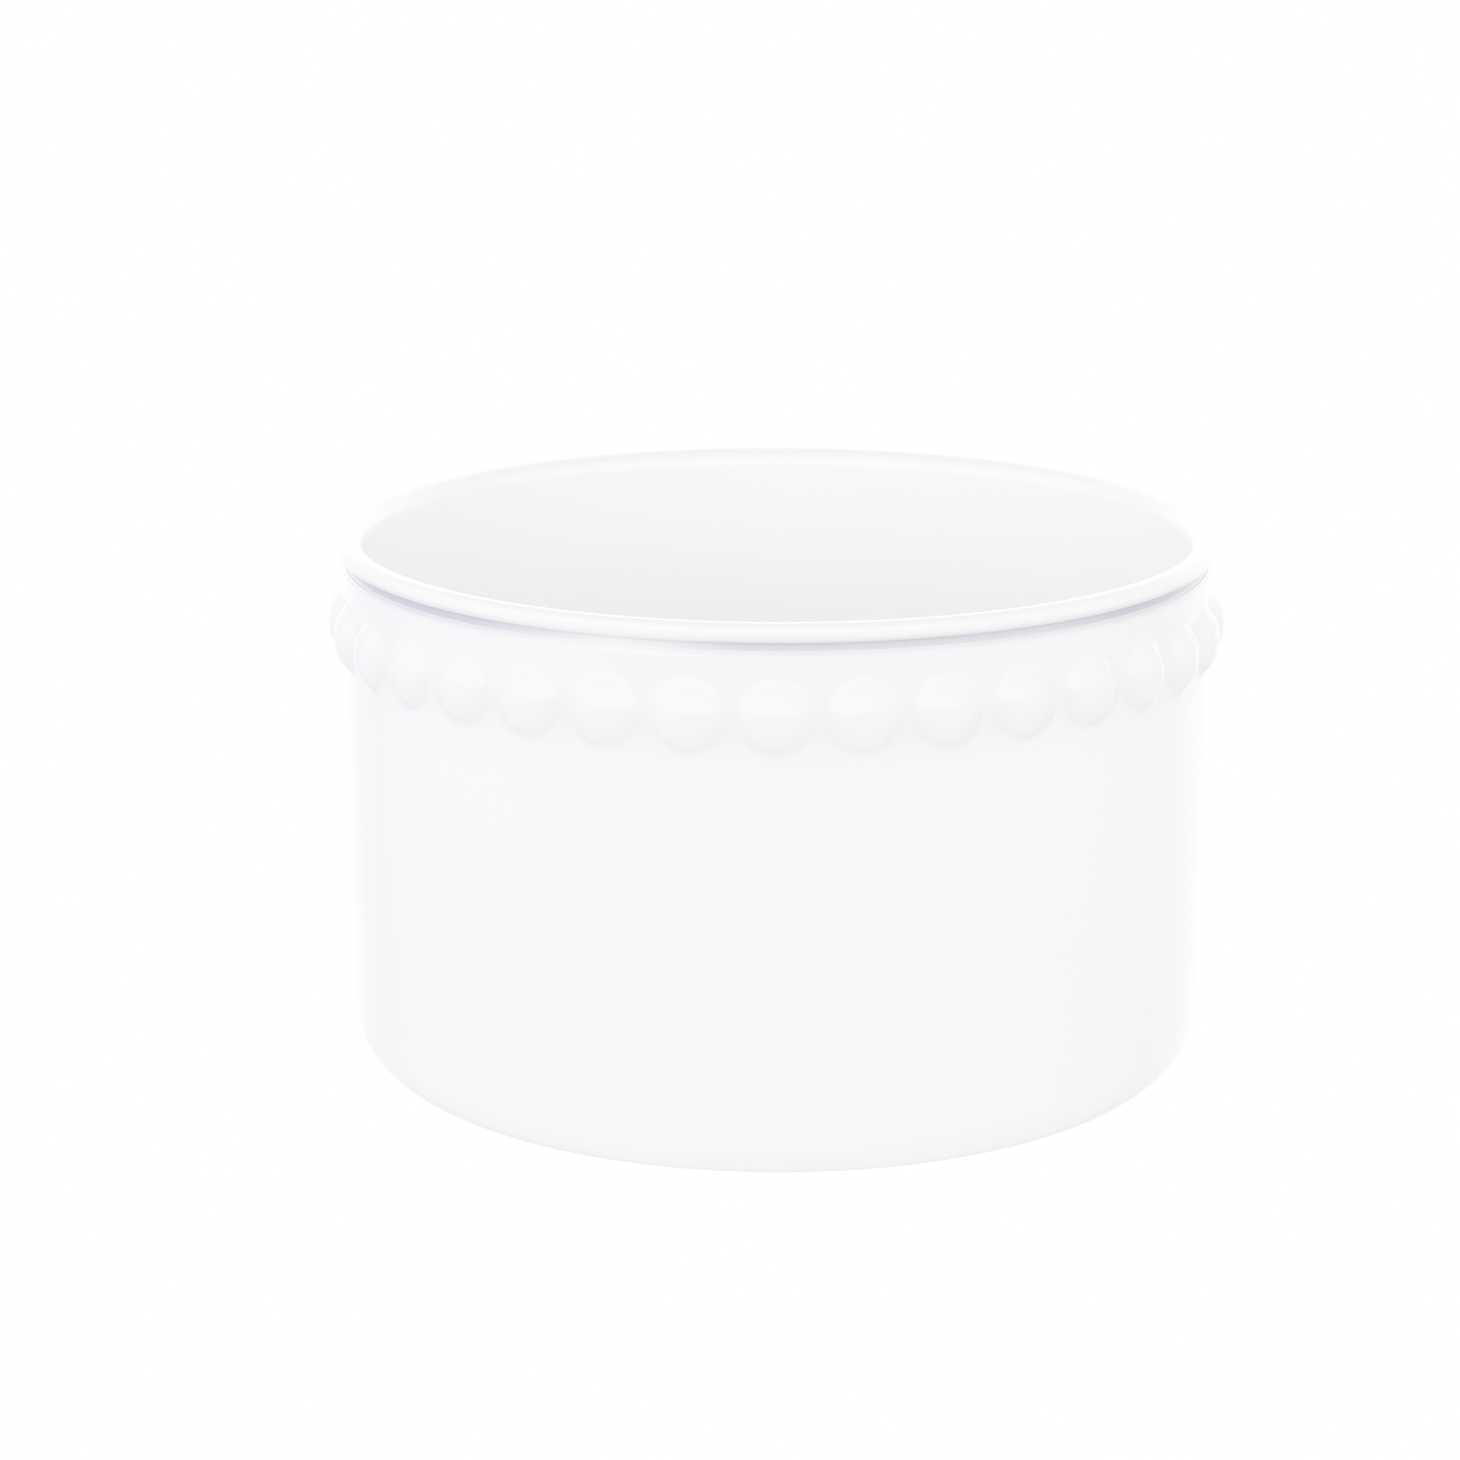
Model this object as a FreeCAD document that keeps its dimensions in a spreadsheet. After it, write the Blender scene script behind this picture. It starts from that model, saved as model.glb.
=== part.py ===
"""Porcelain shaving bowl: a turned clay body with a rolled rim, a ring of pearls luted on below it, and glaze.

Millimetres, +Z up. The origin is the centre of the foot ring, on the surface that the bowl stands on.
The clay body is one turned section. The pearls are separate sprigs seated on the outside of its wall.
The glaze is a thin coat that covers all of them except the foot ring, which stays bare and so parts the
coat into two pieces.
"""

import FreeCAD, Part
import os
import Sketcher

# name, value, meaning; lengths in millimetres, radii and heights of the clay without its glaze
SIZES = [
    ("foot_height", 1.0, "height of the foot ring below the underside"),
    ("foot_outer_radius", 40.5, "outside of the foot ring"),
    ("foot_inner_radius", 37.5, "inside of the foot ring"),
    ("foot_round", 0.4, "rounding of the foot ring's standing edges"),
    ("wall_foot_radius", 48.6, "outside of the wall, drawn down to the underside"),
    ("wall_neck_radius", 49.2, "outside of the wall at the neck"),
    ("wall_foot_round", 5.6, "rounding from the wall to the underside"),
    ("neck_height", 58.9, "top of the neck, below the groove"),
    ("neck_round", 0.3, "rounding of the neck's upper edge"),
    ("groove_radius", 48.4, "bottom of the groove between neck and rim"),
    ("groove_round", 0.45, "rounding in the groove's two corners"),
    ("rim_underside_height", 60.55, "underside of the rolled rim"),
    ("rim_top_height", 62.05, "top of the rolled rim"),
    ("rim_outer_radius", 49.7, "outside of the rolled rim"),
    ("rim_inner_radius", 47.1, "inside of the rolled rim"),
    ("rim_round", 0.7, "rounding of the rolled rim, outside"),
    ("rim_inner_round", 1.8, "rounding of the rolled rim, inside"),
    ("cavity_foot_radius", 46.2, "inside of the wall, drawn down to the floor"),
    ("cavity_round", 9.0, "rounding from the inside of the wall to the floor"),
    ("floor_height", 4.7, "top of the floor"),
    ("pearl_count", 34, "number of pearls around the wall"),
    ("pearl_height", 52.2, "height of the pearls' centres"),
    ("pearl_radius", 3.25, "radius of a pearl, seen from outside"),
    ("pearl_rise", 1.75, "how far a pearl stands out of the wall"),
    ("glaze_thickness", 0.3, "thickness of the glaze coat"),
]

BARE = "0"
GLAZED = "Sizes.glaze_thickness"
FULL_TURN = 360
FRONT_ANGLE = -90  # the first pearl faces -Y
EDGE_TOLERANCE = 1e-3
AXIS = "0"  # the radius of a section corner that lies on the turning axis

# radius of the bare wall at the height of the pearls' centres
PEARL_SEAT_RADIUS = (
    "(Sizes.wall_foot_radius + (Sizes.wall_neck_radius - Sizes.wall_foot_radius)"
    " * (Sizes.pearl_height - Sizes.foot_height) / (Sizes.neck_height - Sizes.foot_height))"
)


def make_sheet(doc):
    """The driving dimensions, each a plain number with an alias and its meaning beside it."""
    sheet = doc.addObject("Spreadsheet::Sheet", "Sizes")
    for row, (alias, value, meaning) in enumerate(SIZES, start=1):
        sheet.set(f"A{row}", alias)
        sheet.set(f"B{row}", str(value))
        sheet.setAlias(f"B{row}", alias)
        sheet.set(f"C{row}", meaning)
    doc.recompute()
    return sheet


def origin_feature(body, role):
    """The body's own origin plane or axis with that role."""
    return next(f for f in body.Origin.OriginFeatures if f.Role == role)


def section_sketch(body, name, corners):
    """A closed section of straight sides on the XZ plane. corners maps each corner's name to the
    expressions for its radius and its height."""
    sketch = body.newObject("Sketcher::SketchObject", name)
    sketch.AttachmentSupport = [(origin_feature(body, "XZ_Plane"), "")]
    sketch.MapMode = "FlatFace"
    count = len(corners)
    start_places = [FreeCAD.Vector(10 + 3 * n, n * n, 0) for n in range(count)]
    for n in range(count):
        sketch.addGeometry(Part.LineSegment(start_places[n], start_places[(n + 1) % count]), False)
    for n in range(count):
        sketch.addConstraint(Sketcher.Constraint("Coincident", n, 2, (n + 1) % count, 1))
    for n, (radius, height) in enumerate(corners.values()):
        if radius == AXIS:
            sketch.addConstraint(Sketcher.Constraint("PointOnObject", n, 1, -2))
        else:
            across = sketch.addConstraint(Sketcher.Constraint("DistanceX", -1, 1, n, 1, 10.0 + n))
            sketch.setExpression(f"Constraints[{across}]", radius)
        up = sketch.addConstraint(Sketcher.Constraint("DistanceY", -1, 1, n, 1, 1.0 + n))
        sketch.setExpression(f"Constraints[{up}]", height)
    body.Document.recompute()
    return sketch


def turn(body, name, sketch):
    """The section turned once round the bowl's axis."""
    solid = body.newObject("PartDesign::Revolution", name)
    solid.Profile = sketch
    solid.ReferenceAxis = (sketch, ["V_Axis"])
    solid.Angle = FULL_TURN
    body.Document.recompute()
    return solid


def round_corners(body, name, sketch, corners, rounded, radius):
    """Rounds the circular edges that the named corners of the section make."""
    solid = body.Tip
    places = list(corners)
    edges = []
    for corner in rounded:
        point = sketch.Geometry[places.index(corner)].StartPoint
        for number, edge in enumerate(solid.Shape.Edges, start=1):
            if not isinstance(edge.Curve, Part.Circle):
                continue
            same_radius = abs(edge.Curve.Radius - point.x) < EDGE_TOLERANCE
            same_height = abs(edge.Curve.Center.z - point.y) < EDGE_TOLERANCE
            if same_radius and same_height:
                edges.append(f"Edge{number}")
    if len(edges) != len(rounded):
        raise ValueError(f"{name}: found {len(edges)} edges for {len(rounded)} corners")
    rounding = body.newObject("PartDesign::Fillet", name)
    rounding.Base = (solid, edges)
    rounding.setExpression("Radius", radius)
    body.Document.recompute()
    return rounding


def bare_underside():
    """Section corners of the clay's underside, from the axis out to the wall, with the foot ring."""
    return {
        "centre": (AXIS, "Sizes.foot_height"),
        "foot_inside_root": ("Sizes.foot_inner_radius", "Sizes.foot_height"),
        "foot_inside": ("Sizes.foot_inner_radius", "0"),
        "foot_outside": ("Sizes.foot_outer_radius", "0"),
        "foot_outside_root": ("Sizes.foot_outer_radius", "Sizes.foot_height"),
    }


def glazed_underside():
    """Section corners of the glaze's underside, which is flat: the foot ring stands through it."""
    return {"centre": (AXIS, f"Sizes.foot_height - {GLAZED}")}


def bowl_body(doc, label, coat, underside):
    """The turned bowl, grown outwards all over by the thickness of coat."""
    body = doc.addObject("PartDesign::Body", label)
    body.Label = label
    corners = dict(underside)
    corners["wall_foot"] = (f"Sizes.wall_foot_radius + {coat}", f"Sizes.foot_height - {coat}")
    corners["neck"] = (f"Sizes.wall_neck_radius + {coat}", f"Sizes.neck_height + {coat}")
    corners["groove_below"] = (f"Sizes.groove_radius + {coat}", f"Sizes.neck_height + {coat}")
    corners["groove_above"] = (f"Sizes.groove_radius + {coat}", f"Sizes.rim_underside_height - {coat}")
    corners["rim_below"] = (f"Sizes.rim_outer_radius + {coat}", f"Sizes.rim_underside_height - {coat}")
    corners["rim_above"] = (f"Sizes.rim_outer_radius + {coat}", f"Sizes.rim_top_height + {coat}")
    corners["rim_inside"] = (f"Sizes.rim_inner_radius - {coat}", f"Sizes.rim_top_height + {coat}")
    corners["cavity_foot"] = (f"Sizes.cavity_foot_radius - {coat}", f"Sizes.floor_height + {coat}")
    corners["floor"] = (AXIS, f"Sizes.floor_height + {coat}")
    sketch = section_sketch(body, f"{label}_section", corners)
    turn(body, f"{label}_turned", sketch)
    rounds = [
        ("wall_foot_round", ["wall_foot"], f"Sizes.wall_foot_round + {coat}"),
        ("cavity_round", ["cavity_foot"], f"Sizes.cavity_round - {coat}"),
        ("groove_round", ["groove_below", "groove_above"], f"Sizes.groove_round - {coat}"),
        ("neck_round", ["neck"], f"Sizes.neck_round + {coat}"),
        ("rim_round", ["rim_below", "rim_above"], f"Sizes.rim_round + {coat}"),
        ("rim_inner_round", ["rim_inside"], f"Sizes.rim_inner_round + {coat}"),
    ]
    if "foot_inside" in corners:
        rounds.append(("foot_round", ["foot_inside", "foot_outside"], "Sizes.foot_round"))
    for name, rounded, radius in rounds:
        round_corners(body, f"{label}_{name}", sketch, corners, rounded, radius)
    return body


def pearl_blank(doc, name, angle, coat):
    """A whole flattened ball, centred on the bare wall at that angle and grown by the thickness of coat."""
    blank = doc.addObject("Part::Ellipsoid", name)
    blank.setExpression("Radius1", f"Sizes.pearl_rise + {coat}")
    blank.setExpression("Radius2", f"Sizes.pearl_radius + {coat}")
    blank.setExpression("Radius3", f"Sizes.pearl_radius + {coat}")
    about_axis = FreeCAD.Rotation(FreeCAD.Vector(0, 0, 1), angle)
    outward = about_axis.multVec(FreeCAD.Vector(1, 0, 0))
    blank.Placement = FreeCAD.Placement(
        FreeCAD.Vector(), FreeCAD.Rotation(FreeCAD.Vector(0, 0, 1), outward)
    )
    blank.setExpression("Placement.Base.x", f"{PEARL_SEAT_RADIUS} * cos({angle} deg)")
    blank.setExpression("Placement.Base.y", f"{PEARL_SEAT_RADIUS} * sin({angle} deg)")
    blank.setExpression("Placement.Base.z", "Sizes.pearl_height")
    return blank


def fused(doc, name, parts):
    """One solid of all the parts."""
    fuse = doc.addObject("Part::MultiFuse", name)
    fuse.Shapes = parts
    return fuse


def boolean(doc, kind, label, base, tool):
    """A Part::Cut or Part::Common of two objects."""
    result = doc.addObject(kind, label)
    result.Label = label
    result.Base = base
    result.Tool = tool
    return result


def make_pearls(doc, clay, angles):
    """The pearls, each with a back face that follows the wall, and the whole balls they are cut from."""
    blanks = []
    pearls = []
    for number, angle in enumerate(angles, start=1):
        blank = pearl_blank(doc, f"pearl_blank_{number:02d}", angle, BARE)
        blanks.append(blank)
        pearls.append(boolean(doc, "Part::Cut", f"pearl_{number:02d}", blank, clay))
    doc.recompute()
    return pearls, blanks


def make_glaze(doc, clay, blanks, angles):
    """The main coat, from the foot ring up over the pearls and rim to the middle of the floor, and the coat
    of the well inside the foot ring."""
    skin = [bowl_body(doc, "glazed_bowl", GLAZED, glazed_underside())]
    for number, angle in enumerate(angles, start=1):
        skin.append(pearl_blank(doc, f"glazed_pearl_{number:02d}", angle, GLAZED))
    outside = fused(doc, "glazed_outside", skin)
    inside = fused(doc, "glaze_core", [clay, *blanks])
    coat = boolean(doc, "Part::Cut", "whole_glaze", outside, inside)
    well = doc.addObject("Part::Cylinder", "foot_well")
    well.setExpression("Radius", "(Sizes.foot_inner_radius + Sizes.foot_outer_radius) / 2")
    well.setExpression("Height", "Sizes.foot_height")
    main_coat = boolean(doc, "Part::Cut", "glaze_coat", coat, well)
    well_coat = boolean(doc, "Part::Common", "foot_well_glaze", coat, well)
    doc.recompute()
    return [main_coat, well_coat]


def check(doc, nodes):
    """Stops on an object that failed to build, or a node whose shape isn't one valid solid."""
    for item in doc.Objects:
        if "Invalid" in item.State or "Error" in item.State:
            raise ValueError(f"{item.Label} did not build: {item.State}")
    for node in nodes:
        shape = node.Shape
        if shape.isNull() or not shape.isValid() or len(shape.Solids) != 1:
            raise ValueError(f"{node.Label} is not one valid solid")


def export(nodes):
    """Writes each node to its own file, named by its label."""
    os.makedirs("parts", exist_ok=True)
    for node in nodes:
        node.Shape.exportStep(f"parts/{node.Label}.step")
        print(f"{node.Label}: {node.Shape.Volume:.1f} mm3")


def main():
    doc = FreeCAD.newDocument("shaving_bowl")
    sheet = make_sheet(doc)
    count = int(sheet.get("pearl_count"))
    angles = [FRONT_ANGLE + FULL_TURN * n / count for n in range(count)]
    clay = bowl_body(doc, "porcelain_body", BARE, bare_underside())
    pearls, blanks = make_pearls(doc, clay, angles)
    glaze = make_glaze(doc, clay, blanks, angles)
    nodes = [clay, *pearls, *glaze]
    check(doc, nodes)
    export(nodes)


main()
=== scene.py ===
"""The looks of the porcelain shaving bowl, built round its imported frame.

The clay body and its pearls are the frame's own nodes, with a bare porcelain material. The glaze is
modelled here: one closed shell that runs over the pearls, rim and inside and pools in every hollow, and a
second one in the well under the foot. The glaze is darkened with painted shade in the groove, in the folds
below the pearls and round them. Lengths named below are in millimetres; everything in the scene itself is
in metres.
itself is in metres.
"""

import math

import bpy
import numpy as np
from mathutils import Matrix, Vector


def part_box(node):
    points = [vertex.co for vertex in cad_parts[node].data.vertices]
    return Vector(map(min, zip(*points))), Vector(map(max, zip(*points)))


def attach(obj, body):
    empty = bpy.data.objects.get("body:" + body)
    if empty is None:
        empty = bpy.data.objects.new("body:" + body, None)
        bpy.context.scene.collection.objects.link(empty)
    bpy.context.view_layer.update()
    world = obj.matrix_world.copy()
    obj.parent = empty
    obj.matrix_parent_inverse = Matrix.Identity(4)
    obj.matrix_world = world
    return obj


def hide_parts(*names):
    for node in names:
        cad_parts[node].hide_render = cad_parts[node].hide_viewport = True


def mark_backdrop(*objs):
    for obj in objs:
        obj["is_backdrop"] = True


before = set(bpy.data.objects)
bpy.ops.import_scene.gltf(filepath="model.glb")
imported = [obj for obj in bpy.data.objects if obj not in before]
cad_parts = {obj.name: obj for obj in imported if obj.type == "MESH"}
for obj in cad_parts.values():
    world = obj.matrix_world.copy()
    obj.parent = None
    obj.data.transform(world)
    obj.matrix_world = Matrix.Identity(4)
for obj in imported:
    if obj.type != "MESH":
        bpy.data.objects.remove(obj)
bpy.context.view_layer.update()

MM = 0.001

# Sizes that the frame gives.
CLAY_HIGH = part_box("porcelain_body")[1] / MM
WELL_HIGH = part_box("foot_well_glaze")[1] / MM
COAT_LOW, COAT_HIGH = (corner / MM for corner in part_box("glaze_coat"))
PEARL_LOW, PEARL_HIGH = (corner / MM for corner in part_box("pearl_01"))
PEARL_COUNT = sum(1 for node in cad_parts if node.startswith("pearl_"))
COAT = COAT_HIGH.z - CLAY_HIGH.z
FOOT_HEIGHT = WELL_HIGH.z
FOOT_INNER_RADIUS = WELL_HIGH.x
RIM_OUTER_RADIUS = CLAY_HIGH.x
RIM_TOP = CLAY_HIGH.z
PEARL_HEIGHT = (PEARL_LOW.z + PEARL_HIGH.z) / 2
PEARL_RADIUS = (PEARL_HIGH.z - PEARL_LOW.z) / 2 + COAT
PEARL_CREST = -COAT_LOW.y
FIRST_PEARL = -math.pi / 2
PEARL_PITCH = math.tau / PEARL_COUNT

# Sizes of the clay's section that its box doesn't show.
FOOT_OUTER_RADIUS = 40.5
WALL_FOOT_RADIUS = 48.6
WALL_NECK_RADIUS = 49.2
WALL_FOOT_ROUND = 5.6
NECK_HEIGHT = 58.9
NECK_ROUND = 0.3
GROOVE_RADIUS = 48.4
GROOVE_ROUND = 0.45
RIM_UNDERSIDE = 60.55
RIM_INNER_RADIUS = 47.1
RIM_ROUND = 0.7
RIM_INNER_ROUND = 1.8
CAVITY_FOOT_RADIUS = 46.2
CAVITY_ROUND = 9.0
FLOOR_HEIGHT = 4.7

# How the glaze lies on it: how much deeper it pools in the groove, the rounding it leaves in the groove's
# corners, how softly wall and pearls run into each other, how much that lifts a pearl's crest, how strongly
# the fold below a pearl is darkened with painted shade, how far above a pearl's centre that shade begins, in
# pearl radii, and the rounding and unevenness of its edge at the foot ring.
GROOVE_POOL = 0.12
POOLED_GROOVE_ROUND = 0.18
PEARL_BLEND = 0.4
PEARL_SWELL = 0.01
PEARL_FOLD_SHADE = 0.05
PEARL_FOLD_SHADE_START = 0.4
EDGE_ROUND = 0.35
EDGE_WAVE = 0.07
# The waves that make up the edge's unevenness: how many go round the ring, their share, where they start.
EDGE_WAVES = [(5, 0.5, 0.7), (11, 0.3, 2.1), (23, 0.2, 4.4)]
# How full of it the groove is, by degrees round to the right of the front. It is 1 at the usual depth, and
# the glaze has drained at one place. The same share scales the painted shade in the groove, so the groove's
# dark line is lighter there and darker at the far sides.
GROOVE_FILL_AND_SHADE = [
    (-60, 1.45),
    (-48, 1.4),
    (-40, 1.2),
    (-30, 0.7),
    (-21, 0.15),
    (-13, 0.4),
    (-5, 0.95),
    (35, 1.0),
    (48, 1.35),
    (60, 1.4),
]
# Painted shade round the pearls and up to the neck, by height above their centres, counted as thicker glaze.
# This only tints it, darkening the glaze.
BAND_SHADE = [(-6.0, 0.0), (-1.5, 0.02), (1.5, 0.014), (6.8, 0.014), (7.1, 0.0)]

# Fineness of the glaze's mesh, the halvings that find its place over a pearl, and the distance under which
# two places count as one.
COLUMNS_PER_PEARL = 5
BAND_COLUMNS_PER_PEARL = 25
BAND_MARGIN = 1.25
BAND_STEP = 0.36
LONG_STEP = 5.0
END_STEP = 0.15
ARC_STEP = math.radians(7.5)
LEAST_ARC_STEPS = 3
BULGE_STEP = 0.2
HIDDEN_ARC_STEP = math.radians(12)
TRUE_ARC_STEP = math.radians(1)
HALVINGS = 24
TOUCHING = 1e-6

# The view: degrees above level, distance from the groove's centre in metres, the point looked at in
# millimetres.
VIEW_RISE = 12.0
VIEW_DISTANCE = 0.4569
VIEW_AIM = (-5.3, 0.0, 38.25)
LENS = 98.5
SENSOR = 36.0

# Colours of the glaze, the clay and the floor. Glaze has its full dark painted shade colour where it is
# thicker by twice the pool in the groove; this paints the shade in the groove, in the folds below the pearls
# and round them.
GLAZE_WHITE = (0.925, 0.915, 0.918)
GLAZE_CLOUD = (0.905, 0.898, 0.905)
GLAZE_PAINTED_SHADE = (0.33, 0.31, 0.41)
GLAZE_SPECK = (0.70, 0.66, 0.58)
CLAY_WHITE = (0.86, 0.845, 0.815)
CLAY_CLOUD = (0.81, 0.79, 0.755)
CLAY_SPECK = (0.52, 0.45, 0.36)
FLOOR_GREY = (0.25, 0.25, 0.25)
FLOOR_CLOUD = (0.23, 0.23, 0.23)
WHITE = (1.0, 1.0, 1.0)
GLAZE_IOR = 1.52
CLAY_IOR = 1.45
# Most values of a noise lie in this range.
NOISE_LOW = 0.3
NOISE_HIGH = 0.7

# Light of the room by degrees above the horizon: a pale floor, bright walls and a dark ceiling.
ROOM = [
    (-70, (0.90, 0.89, 0.90)),
    (-39, (0.55, 0.55, 0.57)),
    (-20, (0.70, 0.70, 0.71)),
    (-7, (0.87, 0.87, 0.88)),
    (2, (0.74, 0.81, 0.90)),
    (10, (1.12, 1.17, 1.15)),
    (19, (1.13, 1.12, 1.09)),
    (31, (1.05, 1.05, 1.01)),
    (47, (0.80, 0.77, 0.80)),
    (55, (0.42, 0.40, 0.42)),
    (62, (0.02, 0.02, 0.02)),
]
# How strong its walls are, high up and low down, by degrees round from the front. A grey screen stands at
# each side.
HIGH_WALLS = [
    (180, 1.5),
    (150, 1.42),
    (136, 1.12),
    (124, 0.73),
    (112, 0.73),
    (100, 1.0),
    (75, 1.1),
    (55, 1.32),
    (0, 1.5),
]
LOW_WALLS = [
    (180, 1.38),
    (150, 1.3),
    (138, 1.03),
    (124, 0.71),
    (112, 0.71),
    (98, 0.9),
    (75, 0.85),
    (50, 0.6),
    (20, 0.3),
]
# Where the floor gives way to the low walls, and those to the high ones, by degrees above the horizon.
FLOOR_EDGE = [(-36, 0.0), (-24, 1.0)]
WALL_EDGE = [(-2, 0.0), (8, 1.0)]
# The light's tint from the far left to the far right.
SIDEWAYS = [(-1, (1.01, 1.01, 1.07)), (1, (0.95, 0.95, 0.93))]
# How far the room is turned to the left of the camera.
ROOM_TURN = math.radians(7)

# Film response: the power of the curve that rolls the whites off, the number of points that draw it, and its
# place among the display's curves, after those of red, green and blue.
ROLL_OFF = 2.2
CURVE_POINTS = 16
ALL_CHANNELS = 3

# How strongly the floor glows, how shiny it is, and half its size in metres.
FLOOR_GLOW = 0.86
FLOOR_SHEEN = 0.1
FLOOR_HALF_SIZE = 6.0


def wall_radius(height):
    """Radius of the clay wall's outside at that height."""
    share = (height - FOOT_HEIGHT) / (NECK_HEIGHT - FOOT_HEIGHT)
    return WALL_FOOT_RADIUS + (WALL_NECK_RADIUS - WALL_FOOT_RADIUS) * share


def bowl_section(coat, pool, groove_round):
    """Corners of the bowl's section with a coat of that thickness that is deeper by pool in the groove:
    radius, height and rounding, from the middle of the floor up over the rim and down to the foot ring."""
    band_low = PEARL_HEIGHT - PEARL_RADIUS - BAND_MARGIN
    band_high = PEARL_HEIGHT + PEARL_RADIUS + BAND_MARGIN
    return [
        (0, FLOOR_HEIGHT + coat, 0),
        (CAVITY_FOOT_RADIUS - coat, FLOOR_HEIGHT + coat, CAVITY_ROUND - coat),
        (RIM_INNER_RADIUS - coat, RIM_TOP + coat, RIM_INNER_ROUND + coat),
        (RIM_OUTER_RADIUS + coat, RIM_TOP + coat, RIM_ROUND + coat),
        (RIM_OUTER_RADIUS + coat, RIM_UNDERSIDE - coat, RIM_ROUND + coat - pool),
        (GROOVE_RADIUS + coat + pool, RIM_UNDERSIDE - coat, groove_round),
        (GROOVE_RADIUS + coat + pool, NECK_HEIGHT + coat, groove_round),
        (WALL_NECK_RADIUS + coat, NECK_HEIGHT + coat, NECK_ROUND + coat - pool),
        (wall_radius(band_high) + coat, band_high, 0),
        (wall_radius(band_low) + coat, band_low, 0),
        (WALL_FOOT_RADIUS + coat, FOOT_HEIGHT - coat, WALL_FOOT_ROUND + coat),
    ]


def rounded(corners, arc_step, bulge_step=math.inf):
    """The outline through those corners, with an arc at each one that has a rounding. No step of an arc that
    bulges is longer than bulge_step, because such an arc is seen edge-on, where long steps show."""
    outline = []
    for number, (radius, height, rounding) in enumerate(corners):
        corner = Vector((radius, height))
        if not rounding:
            outline.append(corner)
            continue
        before = (Vector(corners[number - 1][:2]) - corner).normalized()
        after = (Vector(corners[number + 1][:2]) - corner).normalized()
        half_angle = before.angle(after) / 2
        centre = corner + (before + after).normalized() * rounding / math.sin(half_angle)
        start = corner + before * rounding / math.tan(half_angle) - centre
        turn = math.pi - 2 * half_angle
        if start.y * before.x < start.x * before.y:
            turn = -turn
        steps = round(abs(turn) / arc_step)
        steps = max(steps, LEAST_ARC_STEPS, math.ceil(-turn * rounding / bulge_step))
        for step in range(steps + 1):
            angle = turn * step / steps
            cosine, sine = math.cos(angle), math.sin(angle)
            across = start.x * cosine - start.y * sine
            up = start.x * sine + start.y * cosine
            outline.append(centre + Vector((across, up)))
    return outline


def in_band(point):
    """Whether a point lies on the outside of the glaze, where the pearls are."""
    reach = PEARL_RADIUS + BAND_MARGIN + TOUCHING
    return point.x > wall_radius(point.y) + COAT / 2 and abs(point.y - PEARL_HEIGHT) < reach


def divided(outline):
    """The outline with its long runs divided: finely where the pearls are, and close to both ends of any
    other run that has room for it, which keeps the shading of the run as straight as the run is."""
    points = [outline[0]]
    for start, end in zip(outline, outline[1:]):
        length = (end - start).length
        if in_band(start) and in_band(end):
            steps = math.ceil(length / BAND_STEP)
            shares = [step / steps for step in range(1, steps)]
        elif length > 3 * END_STEP:
            steps = math.ceil(length / LONG_STEP)
            shares = [END_STEP / length, *[step / steps for step in range(1, steps)], 1 - END_STEP / length]
        else:
            shares = []
        points += [start.lerp(end, share) for share in shares] + [end]
    return points


def thickness_over(point, clay):
    """How far a point lies from the clay's outline."""
    nearest = math.inf
    for start, end in zip(clay, clay[1:]):
        run = end - start
        share = max(0.0, min(1.0, (point - start).dot(run) / run.length_squared))
        nearest = min(nearest, (point - start - run * share).length)
    return nearest


def distance_to_glazed(radius, angle, height, wall):
    """Distance outwards from the glaze over wall and pearls, whose surfaces run into each other smoothly,
    and how deep the glaze is that fills the fold between them."""
    rise = PEARL_CREST - wall_radius(PEARL_HEIGHT) - PEARL_SWELL
    folded = (angle - FIRST_PEARL + PEARL_PITCH / 2) % PEARL_PITCH - PEARL_PITCH / 2
    nearest = radius - wall
    total = np.exp(-nearest / PEARL_BLEND)
    for neighbour in (-1, 0, 1):
        turn = folded + neighbour * PEARL_PITCH
        outward = (radius * np.cos(turn) - wall_radius(PEARL_HEIGHT)) / rise
        across = radius * np.sin(turn) / PEARL_RADIUS
        up = (height - PEARL_HEIGHT) / PEARL_RADIUS
        length = np.sqrt(outward**2 + across**2 + up**2)
        slope = np.sqrt((outward / rise) ** 2 + (across**2 + up**2) / PEARL_RADIUS**2)
        distance = length * (length - 1) / slope
        total += np.exp(-distance / PEARL_BLEND)
        nearest = np.minimum(nearest, distance)
    joined = -PEARL_BLEND * np.log(total)
    return joined, nearest - joined


def over_pearls(angle, height, wall):
    """Radius of the glaze over wall and pearls at one height, found by halving, and how much painted shade
    the fold there gets: none from a little above the pearls' centres up, more further down and in deeper
    folds."""
    low = np.full_like(angle, wall)
    high = np.full_like(angle, PEARL_CREST + 2 * PEARL_BLEND)
    for _ in range(HALVINGS):
        middle = (low + high) / 2
        outside = distance_to_glazed(middle, angle, height, wall)[0] > 0
        high = np.where(outside, middle, high)
        low = np.where(outside, low, middle)
    # Painted shade in the fold below the pearls, starting a little above their centres.
    below = np.clip((PEARL_HEIGHT - height) / PEARL_RADIUS + PEARL_FOLD_SHADE_START, 0, 1)
    return low, PEARL_FOLD_SHADE * below * distance_to_glazed(low, angle, height, wall)[1]


def band_shade(point):
    """How much painted shade the glaze gets, counted as thicker glaze, between the pearls and above them."""
    if point.x < RIM_INNER_RADIUS:
        return 0.0
    heights, depths = zip(*BAND_SHADE)
    return float(np.interp(point.y - PEARL_HEIGHT, heights, depths))


def groove_fill_and_shade(angle):
    """The share of its usual depth that the glaze has in the groove, which also scales the groove's painted
    shade.
    """
    places, shares = zip(*GROOVE_FILL_AND_SHADE)
    return np.interp(np.degrees(angle - FIRST_PEARL), places, shares, period=360)


def edge_wave(angle):
    """The slow unevenness of a glaze edge that was wiped with a sponge, from -1 to 1."""
    return sum(share * np.sin(number * angle + start) for number, share, start in EDGE_WAVES)


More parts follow.
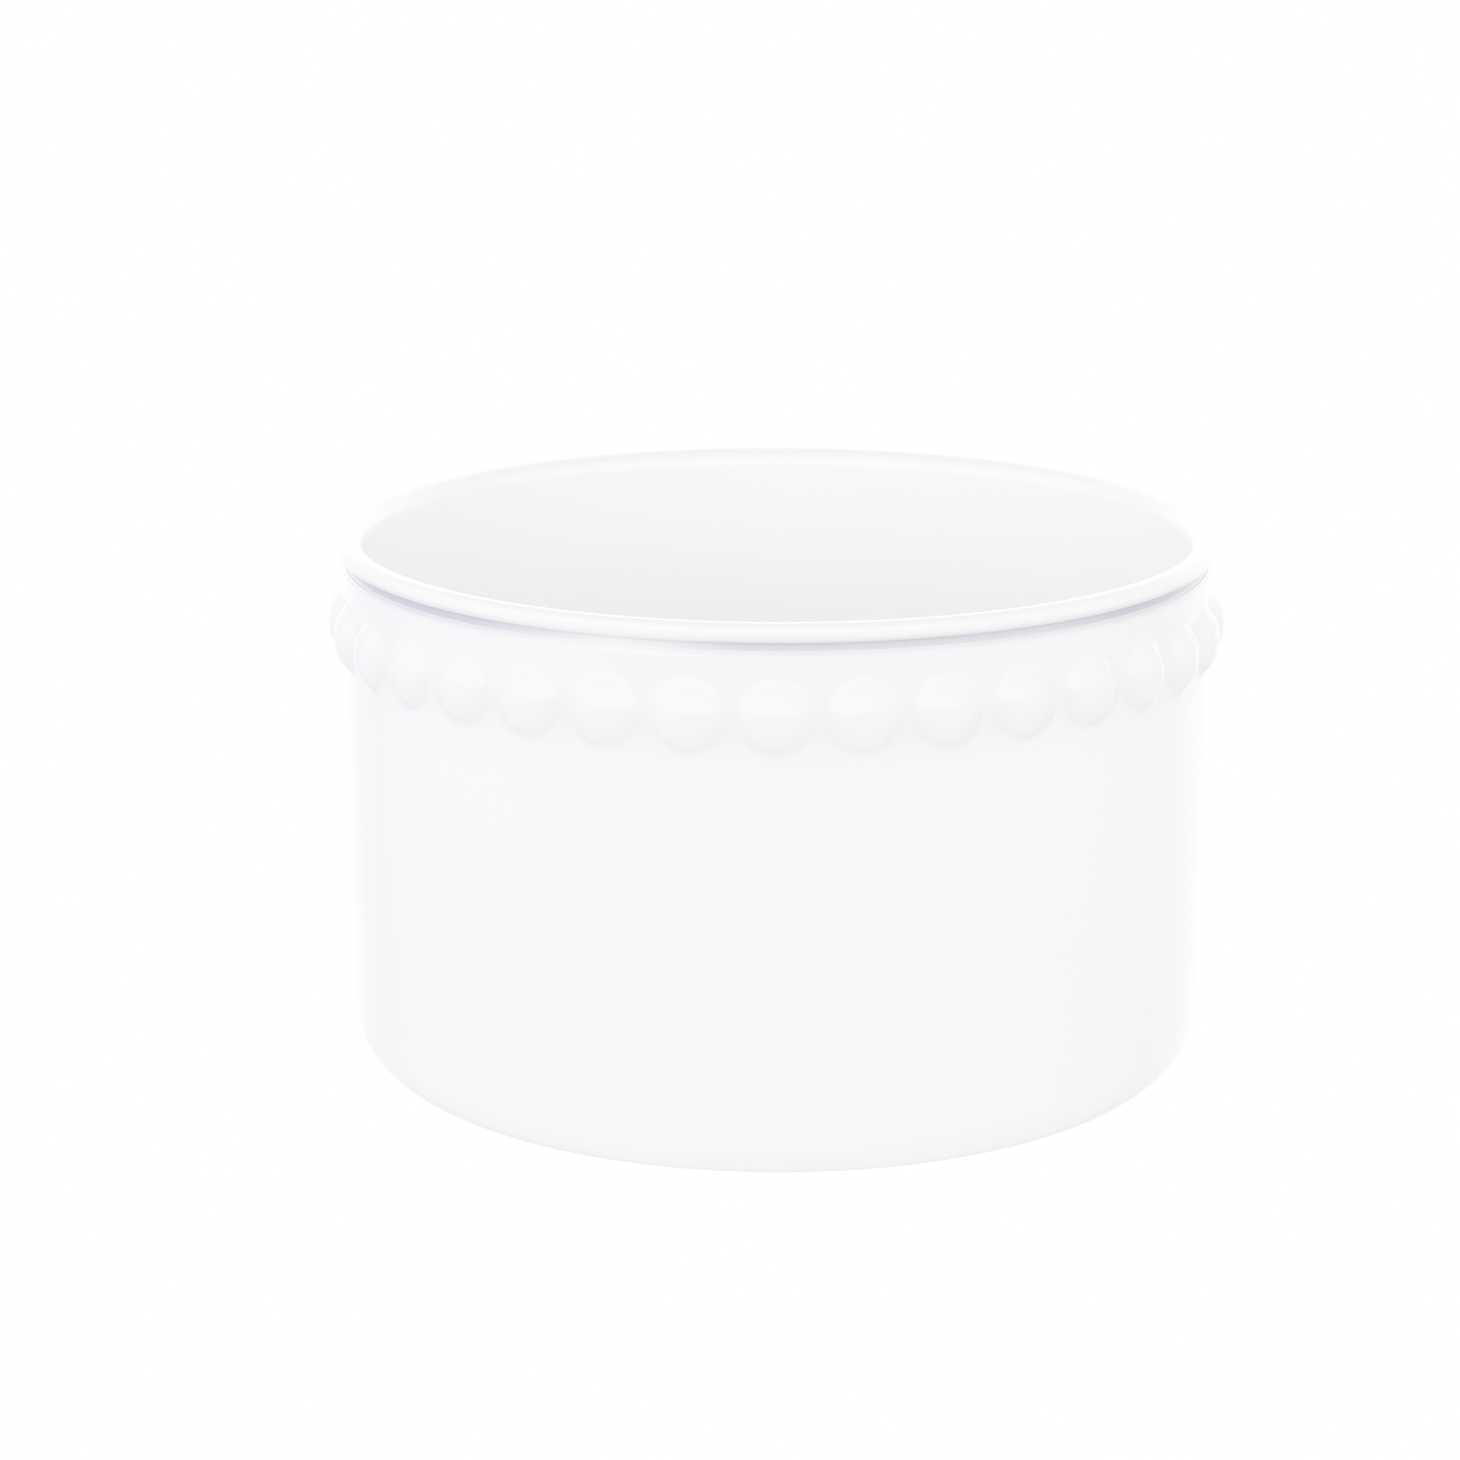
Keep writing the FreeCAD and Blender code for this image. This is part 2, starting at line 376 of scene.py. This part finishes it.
def glaze_rows(air, clay, true_clay):
    """Rings of points round the axis for a closed shell of glaze: along its outside, then back along the
    clay. Each row is its places and its painted shade depth, a thickness of glaze that darkens it with
    painted
    shade: in the groove, in the folds below the pearls and round the pearls. The pool in the groove is
    measured from the finely drawn true_clay."""
    rows = []
    edge_start = FOOT_HEIGHT - COAT
    for number, point in enumerate(air + clay[::-1]):
        on_air = number < len(air)
        fine = on_air and in_band(point)
        count = PEARL_COUNT * (BAND_COLUMNS_PER_PEARL if fine else COLUMNS_PER_PEARL)
        if point.x < TOUCHING:
            count = 1
        angle = FIRST_PEARL + np.arange(count) * math.tau / count
        radius = np.full(count, point.x)
        height = np.full(count, point.y)
        painted_shade_depth = np.zeros(count)
        if on_air:
            pool = max(0.0, thickness_over(point, true_clay) - COAT)
            radius += pool * (groove_fill_and_shade(angle) - 1)
            # Painted shade: in the groove, scaled by how full it is, and round the pearls.
            painted_shade_depth += pool * groove_fill_and_shade(angle) + band_shade(point)
        if fine:
            radius, fold = over_pearls(angle, point.y, point.x)
            # Painted shade in the fold below the pearls.
            painted_shade_depth += fold
        if point.y < edge_start:
            height += edge_wave(angle) * EDGE_WAVE * (edge_start - point.y) / EDGE_ROUND
        rows.append((np.column_stack((radius * np.cos(angle), radius * np.sin(angle), height)), painted_shade_depth))
    return rows


def joined_rows(rows):
    """Faces between each ring of points and the next. A ring may be a single point, or have a whole number
    of times as many points as its neighbour."""
    faces = []
    start = 0
    for (inner, _), (outer, _) in zip(rows, rows[1:]):
        inner_count, outer_count = len(inner), len(outer)
        after = start + inner_count
        pick = max if 1 in (inner_count, outer_count) else min
        shared = pick(inner_count, outer_count)
        inner_ratio, outer_ratio = inner_count // shared, outer_count // shared
        for part in range(shared):
            near = [start + (part * inner_ratio + k) % inner_count for k in range(inner_ratio + 1)]
            far = [after + (part * outer_ratio + k) % outer_count for k in range(outer_ratio + 1)]
            if inner_count == 1:
                near = [start]
            if outer_count == 1:
                far = [after]
            faces.append([near[0], *far, *near[:0:-1]])
        start = after
    return faces


def turned_mesh(name, rows):
    """A mesh object of those rings, in metres, with the painted shade depth as the attribute pool."""
    mesh = bpy.data.meshes.new(name)
    points = np.concatenate([places for places, _ in rows]) * MM
    mesh.from_pydata(points.tolist(), [], joined_rows(rows))
    # The attribute pool tells the glaze material where to darken it with painted shade.
    pool = mesh.attributes.new("pool", "FLOAT", "POINT")
    pool.data.foreach_set("value", np.concatenate([painted_shade_depth for _, painted_shade_depth in rows]).astype(np.float32))
    mesh.shade_smooth()
    mesh.validate()
    piece = bpy.data.objects.new(name, mesh)
    bpy.context.scene.collection.objects.link(piece)
    return piece


def make_glaze_coat():
    """The glaze over the outside, pearls, rim and inside. It thins out on the foot ring's outer side."""
    ring = FOOT_OUTER_RADIUS
    air_corners = bowl_section(COAT, GROOVE_POOL, POOLED_GROOVE_ROUND)
    air_corners += [(ring, FOOT_HEIGHT - COAT, EDGE_ROUND), (ring, FOOT_HEIGHT - COAT - EDGE_ROUND, 0)]
    clay_corners = bowl_section(0, 0, GROOVE_ROUND) + [(ring, FOOT_HEIGHT, 0)]
    air = divided(rounded(air_corners, ARC_STEP, BULGE_STEP)[:-1])
    clay = divided(rounded(clay_corners, HIDDEN_ARC_STEP))
    return turned_mesh("glaze", glaze_rows(air, clay, rounded(clay_corners, TRUE_ARC_STEP)))


def make_well_glaze():
    """The glaze in the well under the bowl, which thins out on the foot ring's inner side."""
    ring = FOOT_INNER_RADIUS
    air_corners = [
        (0, FOOT_HEIGHT - COAT, 0),
        (ring, FOOT_HEIGHT - COAT, EDGE_ROUND),
        (ring, FOOT_HEIGHT - COAT - EDGE_ROUND, 0),
    ]
    air = divided(rounded(air_corners, ARC_STEP, BULGE_STEP)[:-1])
    clay = divided([Vector((0, FOOT_HEIGHT)), Vector((ring, FOOT_HEIGHT))])
    rows = glaze_rows(air, clay, clay)
    rows.reverse()
    return turned_mesh("well_glaze", rows)


class Nodes:
    """Short calls for building the node tree of a material or a world."""

    def __init__(self, owner, coordinates):
        owner.use_nodes = True
        self.owner = owner
        self.tree = owner.node_tree
        self.place = self.add("ShaderNodeTexCoord").outputs[coordinates]

    def add(self, kind, **settings):
        node = self.tree.nodes.new(kind)
        for key, value in settings.items():
            setattr(node, key, value)
        return node

    def link(self, source, target):
        self.tree.links.new(source, target)

    def noise(self, scale, detail=2.0, roughness=0.5):
        """Noise over the object, about 0 to 1, with scale cycles a metre."""
        node = self.add("ShaderNodeTexNoise")
        node.inputs["Scale"].default_value = scale
        node.inputs["Detail"].default_value = detail
        node.inputs["Roughness"].default_value = roughness
        self.link(self.place, node.inputs["Vector"])
        return node.outputs["Fac"]

    def specks(self, scale, size):
        """1 in small dots scattered over the object, 0 between them."""
        node = self.add("ShaderNodeTexVoronoi", feature="F1")
        node.inputs["Scale"].default_value = scale
        self.link(self.place, node.inputs["Vector"])
        return self.ranged(node.outputs["Distance"], size, size * 0.5, 0.0, 1.0)

    def ranged(self, value, low, high, new_low, new_high):
        """The value moved from one range to another, and held inside it."""
        node = self.add("ShaderNodeMapRange")
        for name, number in zip(("From Min", "From Max", "To Min", "To Max"), (low, high, new_low, new_high)):
            node.inputs[name].default_value = number
        self.link(value, node.inputs["Value"])
        return node.outputs["Result"]

    def maths(self, operation, first, second):
        """Two values put together; second may be a plain number."""
        node = self.add("ShaderNodeMath", operation=operation)
        self.link(first, node.inputs[0])
        if isinstance(second, (int, float)):
            node.inputs[1].default_value = second
        else:
            self.link(second, node.inputs[1])
        return node.outputs["Value"]

    def mixed(self, share, first, second):
        """A colour between two; each is a colour or another node's output."""
        node = self.add("ShaderNodeMix", data_type="RGBA")
        self.link(share, node.inputs["Factor"])
        sockets = [socket for socket in node.inputs if socket.type == "RGBA"]
        for socket, colour in zip(sockets, (first, second)):
            if isinstance(colour, tuple):
                socket.default_value = (*colour, 1)
            else:
                self.link(colour, socket)
        return next(socket for socket in node.outputs if socket.type == "RGBA")

    def bumped(self, height, distance, below=None):
        """A normal with that height in metres laid over the one below."""
        node = self.add("ShaderNodeBump")
        node.inputs["Distance"].default_value = distance
        self.link(height, node.inputs["Height"])
        if below is not None:
            self.link(below, node.inputs["Normal"])
        return node.outputs["Normal"]

    def ramp(self, value, stops):
        """Colours or greys that run into each other along a value from -1 to 1."""
        node = self.add("ShaderNodeValToRGB")
        colours = node.color_ramp.elements
        colours.remove(colours[-1])
        for number, (place, colour) in enumerate(stops):
            element = colours.new((place + 1) / 2) if number else colours[0]
            element.position = (place + 1) / 2
            element.color = (*colour, 1) if isinstance(colour, tuple) else (colour, colour, colour, 1)
        self.link(self.ranged(value, -1, 1, 0, 1), node.inputs["Fac"])
        return node.outputs["Color"]

    def times(self, first, second):
        """Two colours multiplied."""
        node = self.add("ShaderNodeVectorMath", operation="MULTIPLY")
        self.link(first, node.inputs[0])
        self.link(second, node.inputs[1])
        return node.outputs["Vector"]


class Surface(Nodes):
    """A material whose colour, roughness and normal come from nodes."""

    def __init__(self, name, ior):
        super().__init__(bpy.data.materials.new(name), "Object")
        self.shader = self.tree.nodes["Principled BSDF"]
        self.shader.inputs["IOR"].default_value = ior

    def roughness(self, noise, smoothest, roughest):
        """Roughness that follows a noise from one value to another."""
        return self.ranged(noise, NOISE_LOW, NOISE_HIGH, smoothest, roughest)

    def finish(self, colour, roughness, normal):
        """The material with these outputs linked to its shader."""
        self.link(colour, self.shader.inputs["Base Color"])
        self.link(roughness, self.shader.inputs["Roughness"])
        self.link(normal, self.shader.inputs["Normal"])
        return self.owner


def glaze_material():
    """Glossy white glaze: faint clouding, darkened with painted shade where the attribute pool is high, a few
    specks and a surface that ripples.
    """
    nodes = Surface("glossy_glaze", GLAZE_IOR)
    pool = nodes.add("ShaderNodeAttribute", attribute_name="pool").outputs["Fac"]
    colour = nodes.mixed(nodes.noise(28.0), GLAZE_WHITE, GLAZE_CLOUD)
    # Painted shade: a dark blue-grey mixed in by the attribute pool, which darkens the groove, the folds
    # below the pearls and round them.
    colour = nodes.mixed(nodes.ranged(pool, 0.0, 2 * GROOVE_POOL, 0.0, 1.0), colour, GLAZE_PAINTED_SHADE)
    speck = nodes.maths("MULTIPLY", nodes.specks(scale=95.0, size=0.016), 0.5)
    colour = nodes.mixed(speck, colour, GLAZE_SPECK)
    roughness = nodes.roughness(nodes.noise(60.0, detail=4.0), smoothest=0.05, roughest=0.1)
    ripple = nodes.bumped(nodes.noise(160.0), distance=0.00002)
    normal = nodes.bumped(nodes.noise(900.0), distance=0.000002, below=ripple)
    return nodes.finish(colour, roughness, normal)


def well_material():
    """The same glaze where it lies face down in the kiln: a little duller, with pinholes."""
    nodes = Surface("well_glaze", GLAZE_IOR)
    colour = nodes.mixed(nodes.noise(45.0, detail=4.0), GLAZE_WHITE, GLAZE_CLOUD)
    pinhole = nodes.specks(scale=260.0, size=0.05)
    colour = nodes.mixed(nodes.maths("MULTIPLY", pinhole, 0.35), colour, GLAZE_SPECK)
    roughness = nodes.roughness(nodes.noise(90.0, detail=4.0), smoothest=0.1, roughest=0.22)
    ripple = nodes.bumped(nodes.noise(220.0, detail=3.0), distance=0.00003)
    normal = nodes.bumped(nodes.maths("MULTIPLY", pinhole, -1.0), distance=0.00003, below=ripple)
    return nodes.finish(colour, roughness, normal)


def bisque_material():
    """Fired porcelain with no glaze: matt, faintly warm, with a fine grain and a few iron specks."""
    nodes = Surface("bare_porcelain", CLAY_IOR)
    colour = nodes.mixed(nodes.noise(70.0, detail=5.0), CLAY_WHITE, CLAY_CLOUD)
    speck = nodes.maths("MULTIPLY", nodes.specks(scale=420.0, size=0.045), 0.6)
    colour = nodes.mixed(speck, colour, CLAY_SPECK)
    roughness = nodes.roughness(nodes.noise(500.0, detail=3.0), smoothest=0.62, roughest=0.8)
    normal = nodes.bumped(nodes.noise(3200.0, detail=3.0, roughness=0.65), distance=0.00004)
    return nodes.finish(colour, roughness, normal)


def floor_material():
    """Matt white tabletop that is lit from below, as a light table is."""
    nodes = Surface("pale_floor", CLAY_IOR)
    colour = nodes.mixed(nodes.noise(6.0, detail=3.0), FLOOR_GREY, FLOOR_CLOUD)
    roughness = nodes.roughness(nodes.noise(300.0), smoothest=0.75, roughest=0.85)
    normal = nodes.bumped(nodes.noise(1500.0), distance=0.00001)
    nodes.shader.inputs["Emission Color"].default_value = (*WHITE, 1)
    nodes.shader.inputs["Emission Strength"].default_value = FLOOR_GLOW
    nodes.shader.inputs["Specular IOR Level"].default_value = FLOOR_SHEEN
    return nodes.finish(colour, roughness, normal)


def make_floor():
    """A wide floor at the height that the foot ring stands on. Only the camera sees it: the bowl is lit from
    below by the studio itself, as if the floor were clear."""
    mesh = bpy.data.meshes.new("floor")
    half = FLOOR_HALF_SIZE
    corners = [(-half, -half, 0), (half, -half, 0), (half, half, 0), (-half, half, 0)]
    mesh.from_pydata(corners, [], [(0, 1, 2, 3)])
    mesh.materials.append(floor_material())
    floor = bpy.data.objects.new("floor", mesh)
    bpy.context.scene.collection.objects.link(floor)
    for rays in ("diffuse", "glossy", "transmission", "shadow"):
        setattr(floor, f"visible_{rays}", False)
    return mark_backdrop(floor)


def by_height(stops):
    """Stops given in degrees above the horizon, as heights of a direction's tip."""
    return [(math.sin(math.radians(degrees)), colour) for degrees, colour in stops]


def by_turn(stops):
    """Stops given in degrees round from the front, as how far a direction's tip comes forward."""
    return [(math.cos(math.radians(degrees)), colour) for degrees, colour in stops]


def make_studio():
    """A pale room with a dark ceiling. Its walls are bright at the front and the back, and low down only at
    the back. Behind the bowl the camera sees a plain white backdrop in place of the room."""
    nodes = Nodes(bpy.data.worlds.new("studio"), "Generated")
    turned = nodes.add("ShaderNodeVectorRotate", rotation_type="Z_AXIS")
    turned.inputs["Angle"].default_value = ROOM_TURN
    nodes.link(nodes.place, turned.inputs["Vector"])
    parts = nodes.add("ShaderNodeSeparateXYZ")
    nodes.link(turned.outputs["Vector"], parts.inputs["Vector"])
    sideways, backwards, up = parts.outputs
    forwards = nodes.maths("MULTIPLY", backwards, -1)
    low_walls = nodes.ramp(forwards, by_turn(LOW_WALLS))
    high_walls = nodes.ramp(forwards, by_turn(HIGH_WALLS))
    strength = nodes.mixed(nodes.ramp(up, by_height(FLOOR_EDGE)), WHITE, low_walls)
    strength = nodes.mixed(nodes.ramp(up, by_height(WALL_EDGE)), strength, high_walls)
    light = nodes.times(nodes.ramp(up, by_height(ROOM)), nodes.ramp(sideways, SIDEWAYS))
    seen = nodes.add("ShaderNodeLightPath").outputs["Is Camera Ray"]
    background = nodes.tree.nodes["Background"].inputs
    nodes.link(nodes.mixed(seen, light, WHITE), background["Color"])
    nodes.link(nodes.mixed(seen, strength, WHITE), background["Strength"])
    bpy.context.scene.world = nodes.owner


def set_film():
    """A plain display with the whites rolled off, and enough bounces for light inside a white bowl."""
    scene = bpy.context.scene
    scene.cycles.max_bounces = 16
    scene.cycles.diffuse_bounces = 12
    scene.cycles.glossy_bounces = 6
    view = scene.view_settings
    view.view_transform = "Standard"
    view.use_curve_mapping = True
    points = view.curve_mapping.curves[ALL_CHANNELS].points
    for number in range(1, CURVE_POINTS):
        share = number / CURVE_POINTS
        points.new(share, 1 - (1 - share) ** ROLL_OFF)
    view.curve_mapping.update()


def make_camera():
    """The view from a little above the rim, with the bowl just right of the picture's middle."""
    groove = Vector((0, 0, (NECK_HEIGHT + RIM_UNDERSIDE) / 2)) * MM
    rise = math.radians(VIEW_RISE)
    lens = bpy.data.cameras.new("camera")
    lens.lens = LENS
    lens.sensor_width = SENSOR
    camera = bpy.data.objects.new("camera", lens)
    camera.location = groove + Vector((0, -math.cos(rise), math.sin(rise))) * VIEW_DISTANCE
    aim = Vector(VIEW_AIM) * MM
    camera.rotation_euler = (camera.location - aim).to_track_quat("Z", "Y").to_euler()
    bpy.context.scene.collection.objects.link(camera)
    bpy.context.scene.camera = camera


def main():
    """Camera, materials, glaze in place of its CAD nodes, floor and studio."""
    make_camera()
    bisque = bisque_material()
    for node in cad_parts.values():
        node.data.materials.clear()
        node.data.materials.append(bisque)
    coat = make_glaze_coat()
    coat.data.materials.append(glaze_material())
    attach(coat, "root")
    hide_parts("glaze_coat")
    well = make_well_glaze()
    well.data.materials.append(well_material())
    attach(well, "root")
    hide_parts("foot_well_glaze")
    make_floor()
    make_studio()
    set_film()


main()
